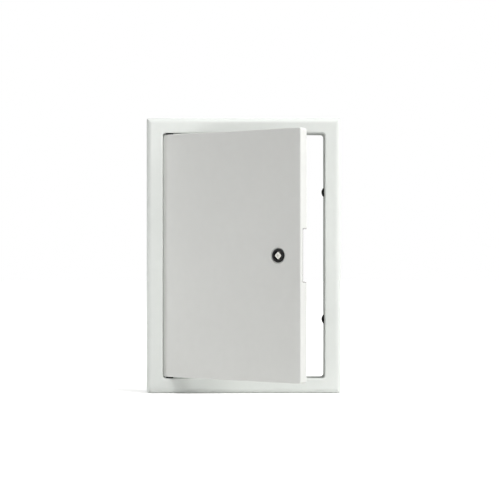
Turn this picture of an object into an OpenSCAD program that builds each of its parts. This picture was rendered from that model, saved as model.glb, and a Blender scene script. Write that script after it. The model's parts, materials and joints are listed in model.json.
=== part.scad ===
// Steel access panel for a wall, with a hinged door that stands ajar.
// X runs to the right seen from the room, Y runs into the wall and Z runs up.
// The origin is the centre of the opening, on the face of the wall.

/* [Opening and frame] */
// Clear width of the opening
open_w = 200; // [160:1:280]
// Clear height of the opening
open_h = 303; // [270:1:400]
// Width of the flange beside the opening
flange_w = 20; // [18:0.5:30]
// Height of the flange above and below the opening
flange_h = 18.5; // [16:0.5:30]
// Height of the flange's face above the wall
flange_rise = 7; // [6.8:0.1:9]
// Thickness of the frame's sheet
frame_sheet = 1; // [0.8:0.05:1.3]
// Outer radius of the bend along the flange's rim
rim_r = 6.4; // [4:0.1:6.6]
// Radius of the flange's corners seen from the front
flange_corner_r = 3; // [2:0.1:6]
// Radius of the bend from the flange into the collar
lip_r = 1.5; // [1.4:0.1:3.2]
// Radius of the collar's corners, on the inside
collar_corner_r = 4; // [3:0.5:4]
// Depth of the collar behind the face of the wall
collar_depth = 28; // [26:0.5:55]

/* [Wall anchors] */
// Width of an anchor strap
anchor_w = 18; // [12:1:24]
// Thickness of an anchor strap
anchor_sheet = 1.2; // [0.8:0.1:1.4]
// Distance of the anchors from the opening's top and bottom
anchor_in = 35; // [28:1:42]
// Where an anchor's foot starts behind the wall face
anchor_start = 9; // [6:0.5:14]
// Length of the anchor's leg behind the collar
anchor_reach = 6; // [4:0.5:10]
// Inner radius of the anchor's bend
anchor_bend_r = 3; // [2:0.5:5]
// Angle at which the anchor's tail turns away from the opening
anchor_angle = 40; // [30:1:45]
// Length of the anchor's tail
anchor_tail = 18; // [14:0.5:19]
// Depth of the notch in the anchor's tail
anchor_notch = 9; // [6:0.5:12]
// Width of the notch at the tail's end
anchor_notch_w = 10; // [6:0.5:11]

/* [Fixing holes] */
// Diameter of the screw holes in the collar
fix_hole_d = 5.5; // [4:0.1:6]
// Distance between the two screw holes of one side
fix_spacing = 100; // [86:1:110]
// Depth of the screw holes behind the wall face
fix_y = 20; // [14:0.5:22]

/* [Rubber stops] */
// Diameter of a stop's dome
stop_d = 11; // [9:0.5:13]
// Height of the whole dome
stop_h = 3; // [2.6:0.1:5]
// Height of the straight foot of the dome
stop_foot = 0.8; // [0.4:0.1:1.2]
// Diameter of the stop's neck
stop_neck_d = 5; // [4:0.1:6]
// Diameter of the tip of the stop's bulb
stop_tip_d = 4; // [3:0.1:5]
// Diameter of the stop's bulb behind the collar
stop_bulb_d = 7.4; // [6.6:0.1:9]
// Length of the stop's bulb
stop_bulb_l = 4; // [3:0.5:6]
// Height of the stops above and below the middle
stop_z = 79; // [72:1:90]
// Play of the neck in its hole
stop_play = 0.05; // [0.02:0.01:0.2]
// Clearance between the closed door and the stops
stop_clear = 0.4; // [0.3:0.05:0.8]

/* [Door] */
// Gap beside the closed door
door_gap = 1.5; // [1.4:0.05:2]
// Gap above and below the closed door
door_gap_h = 2; // [1.4:0.1:3]
// Distance of the closed door's face behind the flange's face
door_recess = 1; // [0.5:0.1:2]
// Thickness of the door's sheet
door_sheet = 1; // [0.8:0.05:1.2]
// Outer radius of the bends round the door's face
door_bend_r = 1.4; // [1.3:0.1:2.6]
// Depth of the door from its face to the edge of its returns
return_depth = 14; // [13.5:0.5:16]
// Radius of the door's corners seen from the front
door_corner_r = 3; // [2.6:0.1:4]
// Angle at which the door stands ajar
door_ajar = 32.5; // [0:0.5:60]

/* [Hinge] */
// Distance of the pivot from the door's edge
pivot_in = 7; // [6:0.1:8]
// Distance of the pivot behind the door's face
pivot_back = 5; // [4.9:0.1:6]
// Diameter of the hinge pins
pin_d = 5; // [4.4:0.1:5.2]
// Radial play of a pin in its holes
pin_play = 0.05; // [0.02:0.01:0.1]
// How far a pin stands past the inside of the frame
pin_reach = 4; // [3.5:0.1:6]
// Bevel on the end of a pin
pin_bevel = 0.8; // [0.4:0.1:1.2]
// Outer diameter of a bush's barrel
bush_d = 7.6; // [6.8:0.1:8]
// Diameter of a bush's collar, which spans the gap to the door
bush_flange_d = 9; // [8.6:0.1:9]
// Clearance between a bush's collar and the door
bush_clear = 0.3; // [0.2:0.05:0.5]
// Length of the bush's snap edge behind the collar
bush_snap = 1.6; // [1:0.1:2]
// How far the snap edge stands out
bush_barb = 0.4; // [0.2:0.05:0.5]
// Clearance between the snap edge and the collar
snap_play = 0.2; // [0.2:0.05:0.4]

/* [Upper hinge bracket] */
// Thickness of the hinge bracket
bracket_sheet = 1.5; // [1.2:0.1:2]
// Height of the bracket's foot
bracket_foot = 26; // [20:1:34]
// Reach of the bracket and the plate from the door's side
bracket_reach = 13.5; // [11:0.5:18]
// Distance of the bracket and the plate behind the door's skin
bracket_gap = 1.2; // [1:0.1:2]
// Distance of the bracket and the plate from the edge of the returns
bracket_inset = 1; // [0.6:0.1:2]
// Distance of the bracket's ear below the door's top
bracket_drop = 21; // [19:0.5:26]
// Radius of the corners of the ear and the plate
ear_r = 2.5; // [1:0.1:3]

/* [Pins and spring] */
// Distance of the finger pull below the bracket's ear
pull_drop = 14; // [12:0.5:18]
// Length of the finger pull from the pin's axis
pull_length = 16; // [12:0.5:22]
// Bend radius of the finger pull
pull_bend_r = 5; // [4:0.5:8]
// Wire diameter of the pin's spring
spring_wire = 0.8; // [0.6:0.05:0.9]
// Number of turns of the spring
spring_turns = 7; // [5:1:9]
// Pitch of the spring's closed end turns, in wire diameters
spring_closed = 1.06; // [1.02:0.01:1.2]
// Play of the spring round the pin and at its ends
spring_play = 0.2; // [0.1:0.05:0.3]
// Thickness of the clip on the pin
clip_sheet = 0.8; // [0.6:0.05:1]
// Diameter of the clip
clip_d = 7.2; // [6.6:0.1:7.4]
// Depth of the clip's groove in the pin
clip_groove = 0.4; // [0.2:0.05:0.5]
// Width of the clip's mouth
clip_mouth = 3; // [2:0.1:3.6]
// Clearance between the clip and the door's top
clip_clear = 0.3; // [0.1:0.05:0.5]
// Thickness of the lower hinge plate
plate_t = 2; // [1.5:0.1:3]
// Diameter of the lower pin's head
pin_head_d = 7.2; // [6.6:0.1:7.4]
// Height of the lower pin's head
pin_head_h = 1.6; // [1.2:0.1:2.4]

/* [Lock body] */
// Distance of the lock's axis from the door's edge
lock_in = 30.7; // [30:0.1:33]
// Height of the lock's axis above the middle
lock_z = 0; // [-6:0.5:6]
// Gap round the lock's head on the pressed seat's flat floor
seat_clear = 0.4; // [0.3:0.05:0.8]
// Depth of the pressed seat
seat_depth = 1.2; // [0.8:0.05:1.4]
// How far the seat widens towards the face
seat_flare = 1.3; // [0.8:0.05:2]
// Diameter of the lock's head
lock_head_d = 16.6; // [16:0.1:17.4]
// Thickness of the lock's head
lock_head_t = 1.35; // [1:0.05:1.6]
// Height of the bevel on the front edge of the lock's head
lock_bevel = 0.5; // [0.2:0.05:0.7]
// Width of that bevel seen from the front
lock_bevel_w = 1; // [0.4:0.1:1.4]
// Diameter of the lock's threaded body
lock_body_d = 14; // [13.6:0.1:14.6]
// Width over the body's two flats
lock_flats = 12.8; // [12.6:0.1:13.4]
// Length of the lock's body behind its head
lock_body_l = 8; // [7.5:0.1:8.2]
// Diameter of the key well
well_d = 11.6; // [11.2:0.1:11.8]
// Thickness of the well's floor
well_floor = 1.8; // [1.4:0.1:2.2]
// Play of the body in the door and in its nut
lock_play = 0.05; // [0.02:0.01:0.2]
// Diameter of the toothed washer
lock_washer_d = 20; // [18.5:0.5:22]
// Thickness of the toothed washer
lock_washer_t = 0.8; // [0.5:0.05:1]
// Number of the washer's teeth
washer_teeth = 12; // [8:1:16]
// Depth of the gaps between the teeth
washer_tooth = 1.4; // [0.8:0.1:1.6]
// Width over the lock nut's flats
nut_af = 19; // [17.5:0.5:20]
// Thickness of the lock nut
nut_t = 3; // [2.4:0.1:3.2]
// Bevel on the nut's corners
nut_bevel = 0.5; // [0.3:0.1:0.8]

/* [Lock core] */
// Width over the flats of the square that the key turns
key_square = 7; // [6.6:0.1:7]
// Diameter that rounds the corners of the key square
key_round_d = 8.8; // [8.6:0.1:9.6]
// Distance of the key square's end behind the lock's front
key_sunk = 0.6; // [0.4:0.1:2]
// Diameter of the centre mark in the key square's end
centre_mark_d = 2.4; // [1.6:0.1:3]
// Depth of the centre mark
centre_mark_deep = 0.6; // [0.3:0.1:0.8]
// Thickness of the spindle's shoulder
shoulder_t = 1.4; // [1:0.1:1.8]
// Diameter of the spindle's shoulder
shoulder_d = 10.6; // [9.8:0.1:10.8]
// Diameter of the spindle's journal
journal_d = 7; // [6.8:0.1:7.4]
// Radial play of the spindle in the lock's body
journal_play = 0.05; // [0.02:0.01:0.1]
// Axial play of the spindle
axial_play = 0.15; // [0.05:0.05:0.2]
// Width over the flats of the square that carries the cam
cam_square = 5; // [4.6:0.1:5.2]
// Play of the cam on its square
cam_play = 0.05; // [0.02:0.01:0.1]
// Length of the cam from the axis to its tip
cam_length = 42; // [40:0.5:42]
// Width of the cam
cam_w = 16; // [12:0.5:16]
// Diameter of the cam's hub
cam_hub_d = 18; // [16:0.5:20]
// Thickness of the cam
cam_t = 2.5; // [2:0.1:3]
// Diameter of the cam's screw
screw_d = 3; // [2.5:0.1:3.2]
// Length of the cam's screw below its head
screw_l = 9; // [7:0.5:9.5]
// Play of the screw in the spindle
screw_play = 0.05; // [0.02:0.01:0.1]
// Diameter of the screw's head
screw_head_d = 6; // [5.5:0.1:7]
// Height of the screw's head
screw_head_h = 2; // [1.6:0.1:2.6]
// Width of the slot in the screw's head
screw_slot_w = 0.9; // [0.6:0.1:1.2]
// Depth of the slot in the screw's head
screw_slot_h = 1; // [0.6:0.1:1.2]
// Diameter of the spring washer under the screw
spring_washer_d = 9; // [8.6:0.1:10]
// Play of the spring washer round the screw
split_play = 0.1; // [0.05:0.05:0.3]
// Thickness of the spring washer
spring_washer_t = 0.9; // [0.6:0.1:1.2]
// Width of the split in the spring washer
washer_split = 0.6; // [0.3:0.1:1]

/* [Cam openings] */
// Height of the door's notch and of the collar's slot
notch_h = 62; // [61:0.5:66]
// Distance of the notch behind the door's face
notch_start = 6; // [5:0.1:6.5]
// Radius in the notch's corners
notch_r = 2; // [1:0.1:3]
// Clearance of the cam in the collar's slot, in front and behind
slot_clear = 1.25; // [1:0.05:1.6]

/* [Hidden] */
$fn = 64;
// Length that lets a cut run past a face
over = 1;
// Overlap that joins the straight and bent lengths of one strap
lap = 0.02;
enamel = "whitesmoke";
zinc = "silver";
plastic = [0.06, 0.06, 0.07];

// Frame
half_w = open_w / 2;
half_h = open_h / 2;
outer_half_w = half_w + flange_w;
outer_half_h = half_h + flange_h;
collar_out = half_w + frame_sheet;
anchor_z = half_h - anchor_in;

// Door, where it stands when closed
door_half_w = half_w - door_gap;
door_half_h = half_h - door_gap_h;
door_front = door_recess - flange_rise;
door_rear = door_front + return_depth;
inner_half_w = door_half_w - door_sheet;
inner_half_h = door_half_h - door_sheet;
stop_y = door_rear + stop_clear + stop_d / 2;

// Hinge
pivot_x = pivot_in - door_half_w;
pivot_y = door_front + pivot_back;
pin_r = pin_d / 2;
pin_hole_r = pin_r + pin_play;
pin_tip = half_h + pin_reach;
bush_flange_t = door_gap_h - bush_clear;
bracket_front = door_front + door_sheet + bracket_gap;
bracket_back = door_rear - bracket_inset;
ear_top = inner_half_h - bracket_drop;
ear_bottom = ear_top - bracket_sheet;
pull_z = ear_bottom - pull_drop;
clip_top = inner_half_h - clip_clear;
spring_r = pin_r + spring_play + spring_wire / 2;
spring_low = ear_top + spring_play + spring_wire / 2;
spring_high = clip_top - clip_sheet - spring_play - spring_wire / 2;

// Lock, from front to back
lock_x = door_half_w - lock_in;
seat_r = lock_head_d / 2 + seat_clear;
seat_y = door_front + seat_depth;
seat_wall = door_sheet / 2;
lock_front = seat_y - lock_head_t;
key_front = lock_front + key_sunk;
washer_y = seat_y + door_sheet;
nut_y = washer_y + lock_washer_t;
lock_rear = seat_y + lock_body_l;
ledge_y = lock_rear - well_floor;
shoulder_y = ledge_y - shoulder_t;
cam_y = lock_rear + axial_play;
cam_back = cam_y + cam_t;
square_back = cam_back - axial_play;
head_y = cam_back + spring_washer_t;
screw_end = head_y - screw_l;

// Runs a flat outline of X and Z into the wall from a depth
module along_y(from, length)
    translate([0, from + length, 0])
        rotate([90, 0, 0])
            linear_extrude(length)
                children();

// Runs a flat outline of Y and Z to the right from a place
module along_x(from, length)
    translate([from, 0, 0])
        rotate([90, 0, 90])
            linear_extrude(length)
                children();

// A round bar that runs to the right, centred on a place
module bar_x(x, y, z, length, r)
    translate([x, y, z])
        rotate([0, 90, 0])
            cylinder(h = length, r = r, center = true);

// A rectangle with round corners
module round_rect(w, h, r) {
    square([w, h - 2 * r], center = true);
    square([w - 2 * r, h], center = true);
    for (x = [-1, 1], y = [-1, 1])
        translate([x * (w / 2 - r), y * (h / 2 - r)])
            circle(r = r);
}

// A disc with two flats
module flatted_disc(d, flats)
    intersection() {
        circle(d = d);
        square([flats, d + over], center = true);
    }

// Swings the door's parts open about the hinge
module ajar()
    translate([pivot_x, pivot_y, 0])
        rotate([0, 0, -door_ajar])
            translate([-pivot_x, -pivot_y, 0])
                children();

// Turns a part's Z into the wall, on the lock's axis
module at_lock(y)
    translate([lock_x, y, lock_z])
        rotate([-90, 0, 0])
            children();

// Sweeps a profile round a rectangle with round corners.
// The profile's X is its distance from the corner's centre and its Y is the depth.
module sweep_round(side_w, side_h, r) {
    for (turn = [0, 180])
        rotate([0, turn, 0]) {
            translate([side_w - r, 0, r - side_h])
                linear_extrude(2 * (side_h - r))
                    children();
            rotate([0, -90, 0])
                translate([side_h - r, 0, r - side_w])
                    linear_extrude(2 * (side_w - r))
                        children();
        }
    for (x = [0, 1], z = [0, 1])
        mirror([x, 0, 0])
            mirror([0, 0, z])
                translate([side_w - r, 0, r - side_h])
                    rotate([-90, 0, 0])
                        rotate_extrude(angle = 90)
                            children();
}

// Section of a block whose front edges are bent, across one of its sides
module block_profile(side, r, front, back) {
    translate([-side, front + r])
        square([2 * side, back - front - r]);
    translate([r - side, front])
        square([2 * (side - r), back - front]);
    for (end = [-1, 1])
        translate([end * (side - r), front + r])
            circle(r = r);
}

// A block with bent front edges, mitred corners and a radius on the corners seen from the front
module bent_block(side_w, side_h, front, back, r, corner_r)
    intersection() {
        translate([0, 0, -side_h])
            linear_extrude(2 * side_h)
                block_profile(side_w, r, front, back);
        rotate([0, -90, 0])
            translate([0, 0, -side_w])
                linear_extrude(2 * side_w)
                    block_profile(side_h, r, front, back);
        along_y(front, back - front)
            round_rect(2 * side_w, 2 * side_h, corner_r);
    }

// Sheet folded back all round, open at its back
module folded_sheet(side_w, side_h, front, back, r, corner_r, sheet)
    difference() {
        bent_block(side_w, side_h, front, back, r, corner_r);
        bent_block(side_w - sheet, side_h - sheet, front + sheet, back + over, r - sheet, corner_r - sheet);
    }

// The flange with its rounded rim, and the hole where the collar starts
module flange()
    difference() {
        folded_sheet(outer_half_w, outer_half_h, -flange_rise, 0, rim_r, flange_corner_r, frame_sheet);
        along_y(-flange_rise - over, frame_sheet + 2 * over)
            round_rect(open_w + 2 * lip_r, open_h + 2 * lip_r, collar_corner_r + lip_r);
    }

// The quarter of a bend that leads from the flange into the collar
module lip_bend()
    intersection() {
        difference() {
            circle(r = lip_r);
            circle(r = lip_r - frame_sheet);
        }
        translate([-lip_r, -lip_r])
            square(lip_r);
    }

// The bend into the collar, and the collar's wall
module collar_profile() {
    translate([collar_corner_r + lip_r, lip_r - flange_rise])
        lip_bend();
    translate([collar_corner_r, lip_r - flange_rise])
        square([frame_sheet, collar_depth + flange_rise - lip_r]);
}

// The slot that the cam enters
module cam_slot() {
    slot_w = cam_t + 2 * slot_clear;
    along_x(half_w - over, frame_sheet + 2 * over)
        translate([cam_y + cam_t / 2, lock_z]) {
            square([slot_w, notch_h - slot_w], center = true);
            for (z = [-1, 1])
                translate([0, z * (notch_h - slot_w) / 2])
                    circle(d = slot_w);
        }
}

module front_frame() {
    color(enamel)
        difference() {
            union() {
                flange();
                sweep_round(half_w, half_h, collar_corner_r)
                    collar_profile();
            }
            cam_slot();
            for (side = [-1, 1], z = [-1, 1])
                bar_x(side * half_w, fix_y, z * fix_spacing / 2, 2 * (frame_sheet + over), fix_hole_d / 2);
            for (z = [-1, 1]) {
                bar_x(half_w, stop_y, z * stop_z, 2 * (frame_sheet + over), stop_neck_d / 2 + stop_play);
                translate([pivot_x, pivot_y, z * half_h])
                    cylinder(h = 2 * (frame_sheet + over), d = bush_d, center = true);
            }
        }
}

// The V cut out of the end of an anchor's tail
module fishtail_cut() {
    cut_l = anchor_notch + over;
    cut_half = anchor_notch_w / 2 * cut_l / anchor_notch;
    translate([0, anchor_tail - anchor_notch, 0])
        along_x(-over, anchor_sheet + 2 * over)
            polygon([[0, 0], [cut_l, cut_half], [cut_l, -cut_half]]);
}

// One anchor strap on the right of the opening, welded to the collar
module anchor_strap(z) {
    leg_end = collar_depth + anchor_reach;
    turn_x = anchor_sheet + anchor_bend_r;
    translate([collar_out, 0, z]) {
        translate([0, anchor_start, -anchor_w / 2])
            cube([anchor_sheet, leg_end + lap - anchor_start, anchor_w]);
        translate([turn_x, leg_end, 0]) {
            rotate([0, 0, 180 - anchor_angle])
                rotate_extrude(angle = anchor_angle)
                    translate([anchor_bend_r, -anchor_w / 2])
                        square([anchor_sheet, anchor_w]);
            rotate([0, 0, -anchor_angle])
                translate([-turn_x, 0, 0])
                    difference() {
                        translate([0, -lap, -anchor_w / 2])
                            cube([anchor_sheet, anchor_tail + lap, anchor_w]);
                        fishtail_cut();
                    }
        }
    }
}

// An anchor on one side, with -1 for the hinge and 1 for the lock
module anchor(side, z)
    color(enamel)
        mirror([side < 0 ? 1 : 0, 0, 0])
            anchor_strap(z);

module anchor_hinge_upper() anchor(-1, anchor_z);

module anchor_hinge_lower() anchor(-1, -anchor_z);

module anchor_lock_upper() anchor(1, anchor_z);

module anchor_lock_lower() anchor(1, -anchor_z);

// A rubber button whose dome stops the closing door
module rubber_stop(z) {
    cap_h = stop_h - stop_foot;
    cap_r = (pow(stop_d / 2, 2) + pow(cap_h, 2)) / (2 * cap_h);
    color(plastic)
        translate([half_w, stop_y, z])
            rotate([0, -90, 0]) {
                cylinder(h = stop_foot, d = stop_d);
                intersection() {
                    translate([0, 0, stop_h - cap_r])
                        sphere(r = cap_r);
                    translate([0, 0, stop_foot])
                        cylinder(h = stop_h, d = stop_d);
                }
                translate([0, 0, -frame_sheet])
                    cylinder(h = frame_sheet, d = stop_neck_d);
                translate([0, 0, -frame_sheet - stop_bulb_l])
                    cylinder(h = stop_bulb_l, d1 = stop_tip_d, d2 = stop_bulb_d);
            }
}

module stop_upper() rubber_stop(stop_z);

module stop_lower() rubber_stop(-stop_z);

// A flanged bush that snaps into the collar above the door
module hinge_bush() {
    snap_z = frame_sheet + snap_play;
    barrel_l = snap_z + bush_snap;
    color(plastic)
        translate([pivot_x, pivot_y, half_h])
            difference() {
                union() {
                    translate([0, 0, -bush_flange_t])
                        cylinder(h = bush_flange_t, d = bush_flange_d);
                    cylinder(h = barrel_l, d = bush_d);
                    translate([0, 0, snap_z])
                        cylinder(h = bush_snap, r1 = bush_d / 2 + bush_barb, r2 = bush_d / 2 - bush_barb);
                }
                translate([0, 0, -bush_flange_t - over])
                    cylinder(h = bush_flange_t + barrel_l + 2 * over, r = pin_hole_r);
            }
}

module hinge_bush_upper() hinge_bush();

module hinge_bush_lower()
    mirror([0, 0, 1])
        hinge_bush();

// The notch in the lock side's return that the cam swings through
module cam_notch() {
    cut_w = return_depth - notch_start + 2 * notch_r;
    along_x(inner_half_w - over, door_sheet + 2 * over)
        translate([door_front + notch_start + cut_w / 2, lock_z])
            round_rect(cut_w, notch_h, notch_r);
}

module door_pan()
    color(enamel)
        ajar()
            difference() {
                union() {
                    folded_sheet(
                        door_half_w, door_half_h, door_front, door_rear, door_bend_r, door_corner_r, door_sheet
                    );
                    at_lock(door_front + seat_wall)
                        cylinder(
                            h = seat_depth + door_sheet - seat_wall,
                            r1 = seat_r + seat_flare + seat_wall,
                            r2 = seat_r + seat_wall
                        );
                }
                at_lock(door_front)
                    cylinder(h = seat_depth, r1 = seat_r + seat_flare, r2 = seat_r);
                at_lock(door_front)
                    linear_extrude(seat_depth + door_sheet + over)
                        flatted_disc(lock_body_d + 2 * lock_play, lock_flats + 2 * lock_play);
                cam_notch();
                for (z = [-1, 1])
                    translate([pivot_x, pivot_y, z * inner_half_h])
                        cylinder(h = 2 * (door_sheet + over), r = pin_hole_r, center = true);
            }

// Outline of the ear and of the lower plate, with the pin's hole, set off from the side by a gap
module ear_outline(gap)
    difference() {
        union() {
            translate([gap - inner_half_w, bracket_front])
                square([bracket_reach - gap - ear_r, bracket_back - bracket_front]);
            translate([(gap + bracket_reach) / 2 - inner_half_w, (bracket_front + bracket_back) / 2])
                round_rect(bracket_reach - gap, bracket_back - bracket_front, ear_r);
        }
        translate([pivot_x, pivot_y])
            circle(r = pin_hole_r);
    }

// The foot is welded to the side return and the ear guides the pin
module upper_hinge_bracket()
    color(zinc)
        ajar() {
            translate([0, 0, ear_bottom])
                linear_extrude(bracket_sheet)
                    ear_outline(0);
            translate([-inner_half_w, bracket_front, ear_top - bracket_foot])
                cube([bracket_sheet, bracket_back - bracket_front, bracket_foot]);
        }

// The plate that stiffens the bottom return under the lower pin, clear of the door's round corner
module lower_hinge_plate()
    color(zinc)
        ajar()
            translate([0, 0, -inner_half_h])
                linear_extrude(plate_t)
                    ear_outline(door_corner_r - door_sheet);

// A pin's shank with a bevelled end, from one height up to another
module pin_shank(low, high)
    translate([0, 0, low]) {
        cylinder(h = high - low - pin_bevel, r = pin_r);
        translate([0, 0, high - low - pin_bevel])
            cylinder(h = pin_bevel, r1 = pin_r, r2 = pin_r - pin_bevel);
    }

// The pin that the door turns on at the bottom, riveted through its plate
module lower_hinge_pin()
    color(zinc)
        ajar()
            translate([pivot_x, pivot_y, 0])
                mirror([0, 0, 1]) {
                    pin_shank(inner_half_h - plate_t, pin_tip);
                    translate([0, 0, inner_half_h - plate_t - pin_head_h])
                        cylinder(h = pin_head_h, d = pin_head_d);
                }

// The sprung pin at the top, with its end bent into a finger pull
module upper_hinge_pin()
    color(zinc)
        ajar()
            translate([pivot_x, pivot_y, 0]) {
                difference() {
                    pin_shank(pull_z + pull_bend_r, pin_tip);
                    translate([0, 0, clip_top - clip_sheet])
                        difference() {
                            cylinder(h = clip_sheet, d = clip_d);
                            cylinder(h = clip_sheet, r = pin_r - clip_groove);
                        }
                }
                translate([pull_bend_r, 0, pull_z + pull_bend_r])
                    rotate([-90, 0, 0])
                        rotate([0, 0, 90])
                            rotate_extrude(angle = 90)
                                translate([pull_bend_r, 0])
                                    circle(r = pin_r);
                translate([pull_bend_r, 0, pull_z])
                    rotate([0, 90, 0])
                        cylinder(h = pull_length - pull_bend_r - pin_r, r = pin_r);
                translate([pull_length - pin_r, 0, pull_z])
                    sphere(r = pin_r);
            }

// The clip in the pin's groove, which the spring pushes up
module pin_clip()
    color(zinc)
        ajar()
            translate([pivot_x, pivot_y, clip_top - clip_sheet])
                linear_extrude(clip_sheet)
                    difference() {
                        circle(d = clip_d);
                        circle(r = pin_r - clip_groove);
                        translate([0, -clip_mouth / 2])
                            square([clip_d, clip_mouth]);
                    }

// Height along the spring, with its first and last turn closed
function spring_z(t) =
    let (closed = spring_wire * spring_closed)
    let (open = (spring_high - spring_low - 2 * closed) / (spring_turns - 2))
    t < 1 ? spring_low + closed * t :
    t > spring_turns - 1 ? spring_high - closed * (spring_turns - t) :
    spring_low + closed + open * (t - 1);

// The spring's wire as rings of points along a coil
module pin_spring() {
    sides = 8;
    steps = 18;
    rings = spring_turns * steps;
    wire_r = spring_wire / 2;
    points = [
        for (i = [0 : rings], j = [0 : sides - 1])
            let (turn = 360 * i / steps)
            let (reach = spring_r + wire_r * cos(360 * j / sides))
            [reach * cos(turn), reach * sin(turn), spring_z(i / steps) + wire_r * sin(360 * j / sides)]
    ];
    skin = [
        for (i = [0 : rings - 1], j = [0 : sides - 1])
            let (k = (j + 1) % sides)
            [i * sides + j, i * sides + k, (i + 1) * sides + k, (i + 1) * sides + j]
    ];
    low_end = [for (j = [sides - 1 : -1 : 0]) j];
    high_end = [for (j = [0 : sides - 1]) rings * sides + j];
    color(zinc)
        ajar()
            translate([pivot_x, pivot_y, 0])
                polyhedron(points = points, faces = concat(skin, [low_end], [high_end]));
}

// The lock's body, with the well that the key enters
module lock_housing()
    color(plastic)
        ajar()
            difference() {
                union() {
                    at_lock(lock_front)
                        cylinder(h = lock_bevel, d1 = lock_head_d - 2 * lock_bevel_w, d2 = lock_head_d);
                    at_lock(lock_front + lock_bevel)
                        cylinder(h = lock_head_t - lock_bevel, d = lock_head_d);
                    at_lock(seat_y)
                        linear_extrude(lock_body_l)
                            flatted_disc(lock_body_d, lock_flats);
                }
                at_lock(lock_front - over)
                    cylinder(h = ledge_y - lock_front + over, d = well_d);
                at_lock(ledge_y - over)
                    cylinder(h = well_floor + 2 * over, r = journal_d / 2 + journal_play);
            }

// The toothed washer that bites into the back of the seat
module lock_washer()
    color(zinc)
        ajar()
            at_lock(washer_y)
                linear_extrude(lock_washer_t)
                    difference() {
                        circle(d = lock_washer_d);
                        circle(d = lock_body_d + 2 * lock_play);
                        for (i = [1 : washer_teeth])
                            rotate(i * 360 / washer_teeth)
                                translate([lock_washer_d / 2, 0])
                                    circle(r = washer_tooth);
                    }

// The nut that clamps the door between washer and head
module lock_nut() {
    across = nut_af / cos(30);
    color(zinc)
        ajar()
            at_lock(nut_y)
                difference() {
                    intersection() {
                        cylinder(h = nut_t, d = across, $fn = 6);
                        union() {
                            cylinder(h = nut_bevel, d1 = nut_af, d2 = across);
                            translate([0, 0, nut_bevel])
                                cylinder(h = nut_t - 2 * nut_bevel, d = across);
                            translate([0, 0, nut_t - nut_bevel])
                                cylinder(h = nut_bevel, d1 = across, d2 = nut_af);
                        }
                    }
                    translate([0, 0, -over])
                        cylinder(h = nut_t + 2 * over, r = lock_body_d / 2 + lock_play);
                }
}

// The part that the key turns, from its square to the cam's square
module lock_spindle()
    color(zinc)
        ajar()
            difference() {
                union() {
                    at_lock(key_front)
                        linear_extrude(shoulder_y - key_front)
                            intersection() {
                                rotate(45)
                                    square(key_square, center = true);
                                circle(d = key_round_d);
                            }
                    at_lock(shoulder_y)
                        cylinder(h = shoulder_t, d = shoulder_d);
                    at_lock(ledge_y)
                        cylinder(h = cam_y - ledge_y, d = journal_d);
                    at_lock(cam_y)
                        linear_extrude(square_back - cam_y)
                            square(cam_square, center = true);
                }
                at_lock(key_front)
                    cylinder(h = centre_mark_deep, d1 = centre_mark_d, d2 = 0);
                at_lock(screw_end - axial_play)
                    cylinder(h = square_back - screw_end + axial_play + over, r = screw_d / 2 + screw_play);
            }

// The cam, which hangs down while the lock is open
module lock_cam()
    color(zinc)
        ajar()
            at_lock(cam_y)
                linear_extrude(cam_t)
                    difference() {
                        union() {
                            circle(d = cam_hub_d);
                            translate([-cam_w / 2, 0])
                                square([cam_w, cam_length - cam_w / 2]);
                            translate([0, cam_length - cam_w / 2])
                                circle(d = cam_w);
                        }
                        square(cam_square + 2 * cam_play, center = true);
                    }

// A split ring that keeps the cam's screw tight
module cam_spring_washer()
    color(zinc)
        ajar()
            at_lock(cam_back)
                linear_extrude(spring_washer_t)
                    difference() {
                        circle(d = spring_washer_d);
                        circle(d = screw_d + 2 * split_play);
                        translate([0, -washer_split / 2])
                            square([spring_washer_d, washer_split]);
                    }

// The slotted screw that holds the cam
module cam_screw()
    color(zinc)
        ajar() {
            at_lock(screw_end)
                cylinder(h = screw_l, d = screw_d);
            at_lock(head_y)
                difference() {
                    cylinder(h = screw_head_h, d = screw_head_d);
                    translate([-screw_head_d, -screw_slot_w / 2, screw_head_h - screw_slot_h])
                        cube([2 * screw_head_d, screw_slot_w, screw_slot_h + over]);
                }
        }

front_frame();
anchor_hinge_upper();
anchor_hinge_lower();
anchor_lock_upper();
anchor_lock_lower();
stop_upper();
stop_lower();
hinge_bush_upper();
hinge_bush_lower();
door_pan();
upper_hinge_bracket();
lower_hinge_plate();
lower_hinge_pin();
upper_hinge_pin();
pin_clip();
pin_spring();
lock_housing();
lock_washer();
lock_nut();
lock_spindle();
lock_cam();
cam_spring_washer();
cam_screw();
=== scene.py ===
"""Finishes for a steel access panel, the spring of its upper hinge pin, and a plain studio."""

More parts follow.
